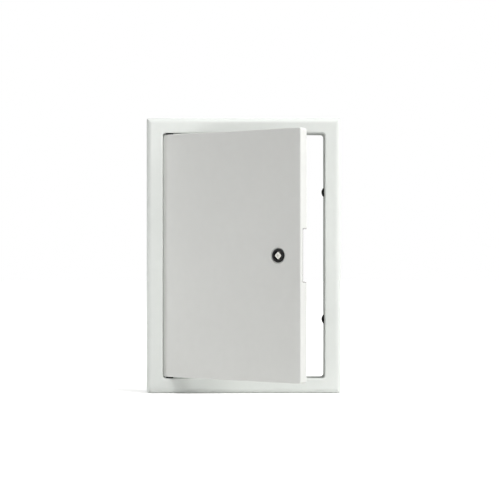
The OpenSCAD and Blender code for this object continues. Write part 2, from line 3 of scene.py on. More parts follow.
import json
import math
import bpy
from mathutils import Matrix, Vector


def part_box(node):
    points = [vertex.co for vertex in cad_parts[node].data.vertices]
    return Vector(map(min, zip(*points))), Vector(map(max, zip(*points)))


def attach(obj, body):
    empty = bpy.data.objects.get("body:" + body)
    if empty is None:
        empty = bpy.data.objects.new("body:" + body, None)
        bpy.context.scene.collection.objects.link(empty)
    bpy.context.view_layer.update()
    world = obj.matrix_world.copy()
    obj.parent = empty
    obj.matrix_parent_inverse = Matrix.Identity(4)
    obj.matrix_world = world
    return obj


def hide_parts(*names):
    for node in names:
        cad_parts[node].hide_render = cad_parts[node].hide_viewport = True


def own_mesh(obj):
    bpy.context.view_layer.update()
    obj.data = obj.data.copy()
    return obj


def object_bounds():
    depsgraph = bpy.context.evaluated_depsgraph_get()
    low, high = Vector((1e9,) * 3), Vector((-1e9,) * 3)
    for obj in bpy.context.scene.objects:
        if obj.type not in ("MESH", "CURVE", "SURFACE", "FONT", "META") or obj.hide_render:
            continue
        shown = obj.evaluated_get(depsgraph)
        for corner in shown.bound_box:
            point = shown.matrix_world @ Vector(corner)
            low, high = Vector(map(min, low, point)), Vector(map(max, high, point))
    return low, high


bl_info = {
    "name": "Access Panel Finishes",
    "version": (1, 0, 0),
    "blender": (4, 5, 0),
    "location": "3D View > Sidebar > Access Panel",
    "description": "Powder coat, zinc plate, plastic and rubber, a wound spring and a plain studio",
    "category": "Material",
}

from collections import namedtuple

import bmesh
import bpy
from mathutils import Matrix, Vector

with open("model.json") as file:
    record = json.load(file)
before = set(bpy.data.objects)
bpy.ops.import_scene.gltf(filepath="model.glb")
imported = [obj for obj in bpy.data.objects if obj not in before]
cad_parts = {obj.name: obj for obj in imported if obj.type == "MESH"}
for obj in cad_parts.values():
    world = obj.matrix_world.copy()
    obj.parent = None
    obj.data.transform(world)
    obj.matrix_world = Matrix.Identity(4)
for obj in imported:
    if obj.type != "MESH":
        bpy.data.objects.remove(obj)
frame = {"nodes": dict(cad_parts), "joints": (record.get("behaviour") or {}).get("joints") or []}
CAD_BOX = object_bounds()

JOINTS = {joint["name"]: joint for joint in frame["joints"]}
AJAR = -math.radians(JOINTS["door_hinge"]["range_deg"][0])
PIVOT = Vector(JOINTS["door_hinge"]["pos_m"])
LOCK = Vector(JOINTS["lock_turn"]["pos_m"])
ANCHORS = ("anchor_hinge_upper", "anchor_hinge_lower", "anchor_lock_upper", "anchor_lock_lower")
PHOTO_SIDE = 499.0  # of the square photograph, in pixels
COIL_STEPS = 36  # rings of points in one turn of the spring
WIRE_SIDES = 12  # points in one ring

# The part of its range in which most of a noise lies
NOISE_SPAN = (0.35, 0.65)

# Heights that are drawn in the shading only, in metres
SPECK_RISE = 0.00003
WELD_LIP = 0.00006
WELD_PIT = 0.00016
ZINC_GRAIN = 0.00001
ZINC_SCRATCH = 0.000012
MOULD_GRAIN = 0.00002
MOULD_SCRATCH = 0.00001
TURNED_RING = 0.000012

# Shares in which the marks show on the powder coat
THIN_SHARE = 0.35
SPECK_SHARE = 0.25
WELD_SHARE = 0.3

# Where masks fade, in metres, between the first number and the second
WALL_FADE = (0.0003, 0.0007)  # out of the opening and into the collar's sheet
LIP_FADE = (-0.004, 0.003)  # along the collar, from its rolled lip inwards
BARREL_FADE = (0.0068, 0.00695)  # from the lock's axis, at the skin of its barrel
HEAD_FADE = (-0.0038, -0.0036)  # along the lock, at the back of its head
RETURN_FADE = 0.002  # width of the fade beside the door's lock-side return
RIM_CORE = 0.6  # share of the painted shade's width round the notch that shows in full

# Places of the two spot welds, in metres
ANCHOR_WELDS = (0.005, 0.014)  # from the anchor's front edge
BRACKET_WELDS = (0.006, 0.016)  # from the bracket's lower edge
BRACKET_FACE = 0.0026  # from the hinge's axis to the line of the bracket's welds

WHITE = (1.0, 1.0, 1.0, 1.0)
ZINC_DUST = (0.42, 0.41, 0.38, 1.0)
ZINC_WELD = (0.2, 0.19, 0.2, 1.0)
BLACK_DUST = (0.36, 0.35, 0.33, 1.0)
BLACK_SCUFF = (0.16, 0.16, 0.165, 1.0)

FLOOR_RADIUS = 9.0
FLOOR_GLOW = (0.35, 1.6, 0.45, 0.95)  # from these two distances, in metres, to these two strengths

# Name, place in metres, side in metres, setting of the power, and colour. All face the opening's centre
LAMPS = (
    ("key_lamp", (1.6, -1.0, 1.35), 1.2, "key_power", (1.0, 1.0, 0.99)),
    ("top_lamp", (0.1, -0.45, 1.35), 0.8, "top_power", (1.0, 1.0, 1.0)),
    ("side_lamp", (-0.6, -0.2, -0.1), 0.3, "side_power", (1.0, 1.0, 1.0)),
    ("fill_lamp", (-1.3, -1.5, 0.1), 0.8, "fill_power", (1.0, 0.99, 0.98)),
    ("rear_lamp", (1.1, 1.5, 1.1), 1.4, "rear_power", (1.0, 1.0, 1.0)),
)

# A patch of painted shade on the powder coat: the function that finds its mask, the share in which it
# shows, its colour, and the roughness that it adds
ShadeMark = namedtuple("ShadeMark", "find share colour matt")


class Sketch:
    """Adds nodes to one tree. An input is given as a value, or as the socket that feeds it."""

    def __init__(self, tree):
        self.tree = tree
        self.place = 0

    def node(self, kind, inputs=None, **settings):
        """A new node with its settings and inputs."""
        made = self.tree.nodes.new(kind)
        made.location = (220 * (self.place % 8), -260 * (self.place // 8))
        self.place += 1
        for name, value in settings.items():
            setattr(made, name, value)
        for key, value in (inputs or {}).items():
            if isinstance(value, bpy.types.NodeSocket):
                self.tree.links.new(value, made.inputs[key])
            else:
                made.inputs[key].default_value = value
        return made

    def sum_up(self, operation, first, second=0.0, third=0.0, clamp=False):
        """The result of one sum."""
        inputs = {0: first, 1: second, 2: third}
        return self.node("ShaderNodeMath", inputs, operation=operation, use_clamp=clamp).outputs[0]

    def vector(self, operation, first, second=(0.0, 0.0, 0.0)):
        """The result of one sum with vectors."""
        made = self.node("ShaderNodeVectorMath", {0: first, 1: second}, operation=operation)
        return made.outputs["Value" if operation in ("LENGTH", "DOT_PRODUCT") else "Vector"]

    def noise(self, vector, size, detail=2.0, roughness=0.5):
        """Noise whose lumps are about a size across, in metres."""
        inputs = {"Vector": vector, "Scale": 1.0 / size, "Detail": detail, "Roughness": roughness}
        return self.node("ShaderNodeTexNoise", inputs).outputs[0]

    def spread(self, value, low, high, start=0.0, end=1.0):
        """Takes the span from low to high to the span from start to end, and holds it there."""
        inputs = {"Value": value, "From Min": low, "From Max": high, "To Min": start, "To Max": end}
        return self.node("ShaderNodeMapRange", inputs).outputs[0]

    def blend(self, factor, first, second):
        """Mixes two colours."""
        inputs = {0: factor, 6: first, 7: second}
        return self.node("ShaderNodeMix", inputs, data_type="RGBA").outputs[2]

    def group(self, name, inputs):
        """The outputs of one of the shared groups."""
        return self.node("ShaderNodeGroup", inputs, node_tree=bpy.data.node_groups[name]).outputs


def new_group(name, inputs, outputs):
    """An empty node group with named sockets, its sketch, and the sockets inside it."""
    tree = bpy.data.node_groups.new(name, "ShaderNodeTree")
    for label, kind, default in inputs:
        tree.interface.new_socket(name=label, in_out="INPUT", socket_type=kind).default_value = default
    for label, kind in outputs:
        tree.interface.new_socket(name=label, in_out="OUTPUT", socket_type=kind)
    sketch = Sketch(tree)
    return sketch, sketch.node("NodeGroupInput").outputs, sketch.node("NodeGroupOutput").inputs


NUMBER, PLACE = "NodeSocketFloat", "NodeSocketVector"


def powder_coat_group():
    """The skin of baked powder coat: flow marks, orange peel and the odd speck under the film."""
    sketch, given, out = new_group(
        "powder_coat",
        [("Vector", PLACE, (0, 0, 0)), ("Peel Size", NUMBER, 0.0018), ("Peel Depth", NUMBER, 0.00001)],
        [("Flow", NUMBER), ("Specks", NUMBER), ("Height", NUMBER)],
    )
    lumps = sketch.sum_up("DIVIDE", 1.0, given["Peel Size"])
    inputs = {"Vector": given["Vector"], "Scale": lumps, "Detail": 1.0}
    peel = sketch.node("ShaderNodeTexNoise", inputs).outputs[0]
    broad = sketch.noise(given["Vector"], 0.09, 1.0)
    cloudy = sketch.noise(given["Vector"], 0.011, 2.0)
    flow = sketch.sum_up("MULTIPLY_ADD", cloudy, 0.45, sketch.sum_up("MULTIPLY", broad, 0.55))
    speck = sketch.node("ShaderNodeTexVoronoi", {"Vector": given["Vector"], "Scale": 95.0}, feature="F1")
    near = sketch.spread(speck.outputs["Distance"], 0.02, 0.035, 1.0, 0.0)
    rare = sketch.spread(sketch.noise(given["Vector"], 0.03, 0.0), 0.6, 0.64)
    specks = sketch.sum_up("MULTIPLY", near, rare)
    rise = sketch.sum_up("MULTIPLY", peel, given["Peel Depth"])
    sketch.tree.links.new(sketch.spread(flow, *NOISE_SPAN), out["Flow"])
    sketch.tree.links.new(specks, out["Specks"])
    sketch.tree.links.new(sketch.sum_up("MULTIPLY_ADD", specks, SPECK_RISE, rise), out["Height"])


def worn_edge_group():
    """Rounds the edges in the shading, and finds where they have been rubbed."""
    sketch, given, out = new_group(
        "worn_edge",
        [("Vector", PLACE, (0, 0, 0)), ("Radius", NUMBER, 0.0004), ("Patch Size", NUMBER, 0.004)],
        [("Mask", NUMBER), ("Normal", PLACE)],
    )
    soft = sketch.node("ShaderNodeBevel", {"Radius": given["Radius"]}, samples=4).outputs["Normal"]
    flat = sketch.node("ShaderNodeNewGeometry").outputs["Normal"]
    off = sketch.sum_up("SUBTRACT", 1.0, sketch.vector("DOT_PRODUCT", soft, flat))
    lumps = sketch.sum_up("DIVIDE", 1.0, given["Patch Size"])
    inputs = {"Vector": given["Vector"], "Scale": lumps, "Detail": 4.0}
    patches = sketch.spread(sketch.node("ShaderNodeTexNoise", inputs).outputs[0], 0.42, 0.62)
    rubbed = sketch.sum_up("MULTIPLY", sketch.spread(off, 0.03, 0.2), patches)
    sketch.tree.links.new(rubbed, out["Mask"])
    sketch.tree.links.new(soft, out["Normal"])


def settled_dust_group():
    """Fine site dust on what faces up."""
    sketch, given, out = new_group(
        "settled_dust",
        [("Vector", PLACE, (0, 0, 0)), ("Amount", NUMBER, 0.2)],
        [("Mask", NUMBER)],
    )
    facing = sketch.node("ShaderNodeNewGeometry").outputs["Normal"]
    up = sketch.node("ShaderNodeSeparateXYZ", {0: facing}).outputs["Z"]
    lies = sketch.spread(up, -0.1, 0.9, 0.12, 1.0)
    drift = sketch.spread(sketch.noise(given["Vector"], 0.006, 5.0, 0.62), 0.4, 0.68)
    mask = sketch.sum_up("MULTIPLY", sketch.sum_up("MULTIPLY", lies, drift), given["Amount"])
    sketch.tree.links.new(mask, out["Mask"])


def fine_scratch_group():
    """Two crossing sets of hairline scratches."""
    sketch, given, out = new_group(
        "fine_scratches",
        [
            ("Vector", PLACE, (0, 0, 0)),
            ("Length", NUMBER, 0.006),
            ("Width", NUMBER, 0.00025),
            ("Share", NUMBER, 0.03),
        ],
        [("Mask", NUMBER)],
    )
    longways = sketch.sum_up("DIVIDE", 1.0, given["Length"])
    across = sketch.sum_up("DIVIDE", 1.0, given["Width"])
    stretch = sketch.node("ShaderNodeCombineXYZ", {"X": across, "Y": across, "Z": longways}).outputs[0]
    sets = []
    for tilt in ((0.25, 0.6, 0.15), (-0.5, -0.35, 0.8)):
        inputs = {"Vector": given["Vector"], "Rotation": tilt}
        drawn = sketch.vector("MULTIPLY", sketch.node("ShaderNodeMapping", inputs).outputs[0], stretch)
        inputs = {"Vector": drawn, "Scale": 1.0, "Detail": 0.0}
        line = sketch.node("ShaderNodeTexNoise", inputs).outputs[0]
        off = sketch.sum_up("ABSOLUTE", sketch.sum_up("SUBTRACT", line, 0.5))
        close = sketch.sum_up("DIVIDE", off, given["Share"])
        sets.append(sketch.sum_up("SUBTRACT", 1.0, close, clamp=True))
    here = sketch.spread(sketch.noise(given["Vector"], 0.012, 1.0), 0.45, 0.65)
    sketch.tree.links.new(sketch.sum_up("MULTIPLY", sketch.sum_up("MAXIMUM", *sets), here), out["Mask"])


def weld_dimple_group():
    """Two round dimples that spot welding leaves, in the plane of Y and Z."""
    sketch, given, out = new_group(
        "weld_dimples",
        [
            ("Vector", PLACE, (0, 0, 0)),
            ("First", PLACE, (0, 0, 0)),
            ("Second", PLACE, (0, 0, 0)),
            ("Radius", NUMBER, 0.0025),
        ],
        [("Mask", NUMBER), ("Height", NUMBER)],
    )
    plane = sketch.vector("MULTIPLY", given["Vector"], (0.0, 1.0, 1.0))
    away = []
    for name in ("First", "Second"):
        away.append(sketch.vector("LENGTH", sketch.vector("SUBTRACT", plane, given[name])))
    share = sketch.sum_up("DIVIDE", sketch.sum_up("MINIMUM", *away), given["Radius"])
    pit = sketch.spread(share, 0.7, 1.0, 1.0, 0.0)
    off = sketch.sum_up("ABSOLUTE", sketch.sum_up("SUBTRACT", share, 1.1))
    lip = sketch.spread(sketch.sum_up("SUBTRACT", 1.0, off), 0.75, 1.0)
    sketch.tree.links.new(sketch.spread(share, 0.9, 1.35, 1.0, 0.0), out["Mask"])
    raised = sketch.sum_up("MULTIPLY", lip, WELD_LIP)
    height = sketch.sum_up("SUBTRACT", raised, sketch.sum_up("MULTIPLY", pit, WELD_PIT))
    sketch.tree.links.new(height, out["Height"])


GROUPS = {
    "powder_coat": powder_coat_group,
    "worn_edge": worn_edge_group,
    "settled_dust": settled_dust_group,
    "fine_scratches": fine_scratch_group,
    "weld_dimples": weld_dimple_group,
}


def need(*names):
    """Builds the shared groups that a material asks for, once."""
    for name in names:
        if name not in bpy.data.node_groups:
            GROUPS[name]()


def rgba(colour):
    return (colour[0], colour[1], colour[2], 1.0)


def tinted(colour, factor):
    """A colour made lighter or darker."""
    return tuple(min(1.0, part * factor) for part in colour[:3]) + (1.0,)


def new_material(name, shown):
    """A material with a Principled shader and nothing else."""
    material = bpy.data.materials.new(name)
    material.use_nodes = True
    material.diffuse_color = rgba(shown)
    material.node_tree.nodes.clear()
    sketch = Sketch(material.node_tree)
    shader = sketch.node("ShaderNodeBsdfPrincipled")
    sketch.node("ShaderNodeOutputMaterial", {"Surface": shader.outputs[0]})
    return material, sketch, shader


def paint(nodes, material):
    """Puts a material on every slot of these CAD nodes."""
    for name in nodes:
        piece = frame["nodes"][name]
        if not piece.material_slots:
            piece.data.materials.append(material)
        for slot in piece.material_slots:
            slot.material = material


def own_place(sketch):
    """A piece's own coordinates, in metres."""
    return sketch.node("ShaderNodeTexCoord").outputs["Object"]


def closed_place(sketch, centre):
    """Coordinates turned as if the door were shut, measured from a point of the open door."""
    back = Matrix.Rotation(AJAR, 3, "Z")
    inputs = {"Vector": own_place(sketch), "Location": -(back @ centre), "Rotation": (0.0, 0.0, AJAR)}
    return sketch.node("ShaderNodeMapping", inputs).outputs[0]


def notch_shade_rim(sketch, look):
    """Finds the narrow rim round the door's notch, which is painted dark as the shade along the notch's
    edge.
    """
    parts = sketch.node("ShaderNodeSeparateXYZ", {0: at_hinge(sketch)}).outputs
    from_face = sketch.sum_up("SUBTRACT", parts["Y"], look.face_ahead)
    beside = sketch.sum_up("SUBTRACT", look.notch_start, from_face)
    above = sketch.sum_up("SUBTRACT", sketch.sum_up("ABSOLUTE", parts["Z"]), look.notch_height / 2)
    away = sketch.sum_up("MAXIMUM", beside, above)
    at_return = sketch.spread(parts["X"], look.return_place - RETURN_FADE, look.return_place)
    rim = sketch.spread(away, look.notch_shade_width * RIM_CORE, look.notch_shade_width, 1.0, 0.0)
    return sketch.sum_up("MULTIPLY", rim, at_return)


def collar_shade_walls(sketch, look):
    """Finds the walls inside the collar, whose coat is painted darker as the shade that falls in the
    collar.
    """
    parts = sketch.node("ShaderNodeSeparateXYZ", {0: own_place(sketch)}).outputs
    across = sketch.sum_up("SUBTRACT", sketch.sum_up("ABSOLUTE", parts["X"]), look.opening_width / 2)
    along = sketch.sum_up("SUBTRACT", sketch.sum_up("ABSOLUTE", parts["Z"]), look.opening_height / 2)
    inner = sketch.spread(sketch.sum_up("MAXIMUM", across, along), *WALL_FADE, 1.0, 0.0)
    return sketch.sum_up("MULTIPLY", inner, sketch.spread(parts["Y"], *LIP_FADE))


def finish_bump(sketch, shader, height, normal):
    """Feeds the last height of a material to its shader."""
    bump = sketch.node("ShaderNodeBump", {"Height": height, "Normal": normal, "Distance": 1.0})
    sketch.tree.links.new(bump.outputs[0], shader.inputs["Normal"])


def enamel(name, look, hue, dust, welds=None, marks=()):
    """Satin powder coat over steel, with the dimples of welds and with marks of painted shade where it
    has them.
    """
    need("powder_coat", "worn_edge", "settled_dust", "weld_dimples")
    material, sketch, shader = new_material(name, hue)
    place = own_place(sketch)
    inputs = {"Vector": place, "Peel Size": look.peel_size, "Peel Depth": look.peel_depth}
    coat = sketch.group("powder_coat", inputs)
    edge = sketch.group("worn_edge", {"Vector": place, "Radius": look.edge_radius, "Patch Size": 0.005})
    dirt = sketch.group("settled_dust", {"Vector": place, "Amount": dust})
    colour = sketch.blend(coat["Flow"], tinted(hue, 1.0 - look.mottle), tinted(hue, 1.0 + look.mottle))
    thin = sketch.sum_up("MULTIPLY", edge["Mask"], THIN_SHARE)
    colour = sketch.blend(thin, colour, rgba(look.thin_colour))
    speck = sketch.sum_up("MULTIPLY", coat["Specks"], SPECK_SHARE)
    colour = sketch.blend(speck, colour, tinted(hue, 0.7))
    colour = sketch.blend(dirt["Mask"], colour, rgba(look.dust_colour))
    rough = sketch.spread(coat["Flow"], 0.0, 1.0, look.roughness - 0.04, look.roughness + 0.05)
    rough = sketch.sum_up("MULTIPLY_ADD", dirt["Mask"], 0.5, rough)
    height = coat["Height"]
    if welds:
        flipped = sketch.vector("ABSOLUTE", place)
        spots = sketch.group("weld_dimples", {"Vector": flipped, **welds})
        height = sketch.sum_up("ADD", height, spots["Height"])
        thin = sketch.sum_up("MULTIPLY", spots["Mask"], WELD_SHARE)
        colour = sketch.blend(thin, colour, rgba(look.thin_colour))
    for mark in marks:
        mask = mark.find(sketch, look)
        colour = sketch.blend(sketch.sum_up("MULTIPLY", mask, mark.share), colour, rgba(mark.colour))
        rough = sketch.sum_up("MULTIPLY_ADD", mask, mark.matt, rough)
    for key, value in (("Base Color", colour), ("Roughness", rough)):
        sketch.tree.links.new(value, shader.inputs[key])
    shader.inputs["Specular IOR Level"].default_value = look.gloss
    finish_bump(sketch, shader, height, edge["Normal"])
    return material


def zinc(name, look, colour, roughness, place_of, wear=0.5, welds=None):
    """Bright zinc plate with a thin tinted film. The caller feeds its height to finish_bump."""
    need("worn_edge", "fine_scratches", "settled_dust", "weld_dimples")
    material, sketch, shader = new_material(name, colour)
    place = place_of(sketch)
    edge = sketch.group("worn_edge", {"Vector": place, "Radius": 0.00025, "Patch Size": 0.002})
    inputs = {"Vector": place, "Length": 0.007, "Width": 0.0004, "Share": 0.035}
    scratches = sketch.group("fine_scratches", inputs)["Mask"]
    dirt = sketch.group("settled_dust", {"Vector": place, "Amount": 0.12})
    cloudy = sketch.spread(sketch.noise(place, 0.005, 3.0), *NOISE_SPAN)
    film = sketch.spread(sketch.noise(place, 0.013, 2.0), 0.4, 0.7, 0.0, look.passivation)
    tone = sketch.blend(cloudy, tinted(colour, 0.86), tinted(colour, 1.06))
    tone = sketch.blend(film, tone, rgba(look.film_colour))
    tone = sketch.blend(sketch.sum_up("MULTIPLY", edge["Mask"], wear), tone, tinted(colour, 1.15))
    tone = sketch.blend(dirt["Mask"], tone, ZINC_DUST)
    rough = sketch.spread(cloudy, 0.0, 1.0, roughness - 0.06, roughness + 0.1)
    rough = sketch.sum_up("MULTIPLY_ADD", scratches, -0.08, rough)
    grain = sketch.sum_up("MULTIPLY", sketch.noise(place, 0.0006, 2.0), ZINC_GRAIN)
    height = sketch.sum_up("MULTIPLY_ADD", scratches, -ZINC_SCRATCH, grain)
    if welds:
        spots = sketch.group("weld_dimples", {"Vector": place, **welds})
        height = sketch.sum_up("ADD", height, spots["Height"])
        tone = sketch.blend(sketch.sum_up("MULTIPLY", spots["Mask"], 0.6), tone, ZINC_WELD)
    for key, value in (("Base Color", tone), ("Roughness", rough)):
        sketch.tree.links.new(value, shader.inputs[key])
    shader.inputs["Metallic"].default_value = 1.0
    return material, sketch, shader, height, edge["Normal"]


def moulded(name, colour, roughness, gloss, grain, place_of, dust, scuff):
    """Black moulded plastic or rubber, with grain, scuffs and dust. The caller finishes its height."""
    need("worn_edge", "fine_scratches", "settled_dust")
    material, sketch, shader = new_material(name, colour)
    place = place_of(sketch)
    edge = sketch.group("worn_edge", {"Vector": place, "Radius": 0.0002, "Patch Size": 0.0015})
    inputs = {"Vector": place, "Length": 0.004, "Width": 0.0003, "Share": 0.025}
    scratches = sketch.group("fine_scratches", inputs)["Mask"]
    dirt = sketch.group("settled_dust", {"Vector": place, "Amount": dust})
    cloudy = sketch.spread(sketch.noise(place, 0.003, 3.0), *NOISE_SPAN)
    tone = sketch.blend(cloudy, tinted(colour, 0.75), tinted(colour, 1.3))
    tone = sketch.blend(sketch.sum_up("MULTIPLY", edge["Mask"], scuff), tone, BLACK_SCUFF)
    tone = sketch.blend(dirt["Mask"], tone, BLACK_DUST)
    rough = sketch.spread(cloudy, 0.0, 1.0, roughness - 0.05, roughness + 0.08)
    rough = sketch.sum_up("MULTIPLY_ADD", dirt["Mask"], 0.3, rough)
    skin = sketch.sum_up("MULTIPLY", sketch.noise(place, grain, 2.0), MOULD_GRAIN)
    height = sketch.sum_up("MULTIPLY_ADD", scratches, -MOULD_SCRATCH, skin)
    for key, value in (("Base Color", tone), ("Roughness", rough)):
        sketch.tree.links.new(value, shader.inputs[key])
    shader.inputs["Specular IOR Level"].default_value = gloss
    return material, sketch, shader, height, edge["Normal"]


def at_lock(sketch):
    """Coordinates from the lock's axis, with Y along it and away from the room."""
    return closed_place(sketch, LOCK)


def at_hinge(sketch):
    """Coordinates from the hinge's axis, with the door shut."""
    return closed_place(sketch, PIVOT)


def colour_prop(name, description, default):
    return bpy.props.FloatVectorProperty(
        name=name, description=description, subtype="COLOR", size=3, min=0.0, max=1.0, default=default
    )


def share_prop(name, description, default, high=1.0):
    return bpy.props.FloatProperty(
        name=name, description=description, subtype="FACTOR", min=0.0, max=high, default=default
    )


def length_prop(name, description, default):
    return bpy.props.FloatProperty(
        name=name,
        description=description,
        subtype="DISTANCE",
        unit="LENGTH",
        min=0.0,
        precision=5,
        default=default,
    )


def number_prop(name, description, default):
    return bpy.props.FloatProperty(name=name, description=description, min=0.0, default=default)


def power_prop(name, description, default):
    return bpy.props.FloatProperty(
        name=name, description=description, subtype="POWER", unit="POWER", min=0.0, default=default
    )


class EnamelLook(bpy.types.PropertyGroup):
    """The white powder coat of the frame, the anchors and the door."""

    colour: colour_prop("Colour", "Colour of the frame's cured coat", (0.81, 0.835, 0.81))
    # Painted shade: the door has the frame's white coat painted a shade darker, for the door turned away
    # from the light.
    door_shaded_colour: colour_prop("Door Colour", "Colour of the door's cured coat", (0.765, 0.77, 0.75))
    thin_colour: colour_prop("Thin Coat", "Colour of the coat along edges", (0.62, 0.64, 0.63))
    # Painted shade: this dark colour round the notch stands for the shade along the notch's edge.
    notch_shade_colour: colour_prop("Cut Edge", "Colour of the rim of the door's notch", (0.2, 0.2, 0.2))
    # Painted shade: the collar's walls get this darker colour for the shade that falls inside the
    # collar.
    collar_shade_colour: colour_prop("Collar", "Colour of the coat inside the collar", (0.5, 0.52, 0.5))
    dust_colour: colour_prop("Dust", "Colour of the dust that lies on it", (0.55, 0.53, 0.49))
    roughness: share_prop("Roughness", "How matt the coat is", 0.6)
    gloss: share_prop("Gloss", "Strength of the coat's reflections", 0.13)
    mottle: share_prop("Unevenness", "How much the coat's tone changes over its face", 0.012, 0.1)
    peel_size: length_prop("Peel Size", "Width of the orange peel's lumps", 0.0018)
    peel_depth: length_prop("Peel Depth", "Height of the orange peel's lumps", 0.000012)
    edge_radius: length_prop("Edge Radius", "How far the coat rounds the sheet's edges", 0.00035)
    opening_width: length_prop("Opening Width", "Width of the frame's opening", 0.2)
    opening_height: length_prop("Opening Height", "Height of the frame's opening", 0.303)
    notch_height: length_prop("Notch Height", "Height of the cam's notch in the door", 0.062)
    notch_start: length_prop("Notch Start", "From the door's face to the notch", 0.006)
    face_ahead: bpy.props.FloatProperty(
        name="Door Face",
        description="The door's face, from the hinge's axis",
        unit="LENGTH",
        default=-0.005,
    )
    return_place: length_prop("Return", "From the hinge's axis into the lock-side return", 0.188)
    # Width of the dark line of painted shade round the notch.
    notch_shade_width: length_prop("Cut Rim", "Width of the thin coat round the notch", 0.001)


class MetalLook(bpy.types.PropertyGroup):
    """The zinc plate of the hinge and the lock."""

    plate_colour: colour_prop("Zinc", "Colour of the plated hinge and lock parts", (0.62, 0.64, 0.67))
    core_colour: colour_prop("Key Square", "Colour of the lock's spindle", (0.36, 0.36, 0.358))
    spring_colour: colour_prop("Spring", "Colour of the spring's wire and the clip", (0.34, 0.34, 0.35))
    film_colour: colour_prop("Passivation", "Tint of the film over the zinc", (0.66, 0.62, 0.46))
    passivation: share_prop("Film", "How far the film tints the zinc", 0.22)
    roughness: share_prop("Roughness", "How matt the plate is", 0.34)


class SpringSize(bpy.types.PropertyGroup):
    """The coil round the upper hinge pin."""

    wire: length_prop("Wire", "Diameter of the spring's wire", 0.0008)
    coil_radius: length_prop("Coil Radius", "From the pin's axis to the middle of the wire", 0.0031)
    turns: bpy.props.IntProperty(
        name="Turns", description="Turns of the spring, with the closed ones", default=7, min=3, max=12
    )
    closed: number_prop("Closed Pitch", "Pitch of the two end turns, in wire diameters", 1.06)


class MouldedLook(bpy.types.PropertyGroup):
    """The black lock body, the bushes and the stops."""

    lock_colour: colour_prop("Lock", "Colour of the lock's body", (0.004, 0.004, 0.0045))
    # The bushes' black is their nylon and also painted shade for the dark gap at the hinge corners.
    bush_black_and_shade: colour_prop("Bushes", "Colour of the hinge bushes", (0.007, 0.007, 0.0075))
    rubber_colour: colour_prop("Rubber", "Colour of the stops", (0.004, 0.004, 0.0045))
    thread_pitch: length_prop("Thread Pitch", "Pitch of the thread on the lock's body", 0.001)


class StudioLook(bpy.types.PropertyGroup):
    """The floor, the lamps and the camera."""

    floor_colour: colour_prop("Floor", "Colour of the floor", (0.92, 0.92, 0.91))
    surround: number_prop("Surround", "Light from the room in front, less towards the sides", 0.13)
    behind: share_prop("Behind", "How much of that light comes from behind the panel", 0.15)
    key_power: power_prop("Key", "Lamp in front above on the right", 39.5)
    top_power: power_prop("Top", "Lamp overhead", 9.8)
    side_power: power_prop("Side", "Small lamp close by on the left", 1.1)
    fill_power: power_prop("Fill", "Lamp in front on the left", 1.5)
    rear_power: power_prop("Rear", "Lamp behind above on the right", 16.0)
    camera_distance: length_prop("Camera Distance", "From the wall's face to the lens", 1.76)
    camera_drop: length_prop("Camera Drop", "How far the lens is below the opening's centre", 0.004)
    focal_px: number_prop("Focal Length", "In pixels of the photograph", 1421.7)
    centre_x: number_prop("Centre X", "Opening's centre in the photograph, in pixels", 243.7)
    centre_y: number_prop("Centre Y", "Opening's centre in the photograph, in pixels", 255.7)


class ACCESS_PANEL_OT_coat_frame(bpy.types.Operator):
    """Gives the flanged frame its white powder coat"""

    bl_idname = "access_panel.coat_frame"
    bl_label = "Coat Frame"

    def execute(self, context):
        look = context.scene.panel_enamel
        # Painted shade: a darker, matter coat on the walls inside the collar stands for their shade.
        collar_shade = ShadeMark(collar_shade_walls, share=1.0, colour=look.collar_shade_colour, matt=0.35)
        paint(["front_frame"], enamel("frame_enamel", look, look.colour, dust=0.05, marks=[collar_shade]))
        return {"FINISHED"}


class ACCESS_PANEL_OT_coat_anchors(bpy.types.Operator):
    """Gives the wall anchors their coat, with the dimples of their spot welds"""

    bl_idname = "access_panel.coat_anchors"
    bl_label = "Coat Anchors"

    def execute(self, context):
        low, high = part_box("anchor_lock_upper")
        middle = (low.z + high.z) / 2
        first, second = ((0.0, low.y + depth, middle) for depth in ANCHOR_WELDS)
        welds = {"First": first, "Second": second, "Radius": 0.0025}
        look = context.scene.panel_enamel
        paint(ANCHORS, enamel("anchor_enamel", look, look.colour, dust=0.2, welds=welds))
        return {"FINISHED"}


class ACCESS_PANEL_OT_coat_door(bpy.types.Operator):
    """Gives the door its white powder coat"""

    bl_idname = "access_panel.coat_door"
    bl_label = "Coat Door"

    def execute(self, context):
        look = context.scene.panel_enamel
        # Painted shade: a dark line round the notch for the shade along its edge.
        notch_shade = ShadeMark(notch_shade_rim, share=0.9, colour=look.notch_shade_colour, matt=0.0)
        # The door's colour is the white coat with painted shade, darker than the frame's.
        paint(["door_pan"], enamel("door_enamel", look, look.door_shaded_colour, dust=0.05, marks=[notch_shade]))
        return {"FINISHED"}


class ACCESS_PANEL_OT_plate_hinges(bpy.types.Operator):
    """Plates the hinge's bracket, plate and pins with zinc"""

    bl_idname = "access_panel.plate_hinges"
    bl_label = "Plate Hinges"

    def execute(self, context):
        look = context.scene.panel_metal
        low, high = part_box("upper_hinge_bracket")
        first, second = ((0.0, BRACKET_FACE, low.z + rise) for rise in BRACKET_WELDS)
        welds = {"First": first, "Second": second, "Radius": 0.002}
        material, sketch, shader, height, normal = zinc(
            "hinge_zinc", look, look.plate_colour, look.roughness, at_hinge, welds=welds
        )
        finish_bump(sketch, shader, height, normal)
        pins = ["lower_hinge_pin", "upper_hinge_pin"]
        paint(["upper_hinge_bracket", "lower_hinge_plate", *pins], material)
        return {"FINISHED"}


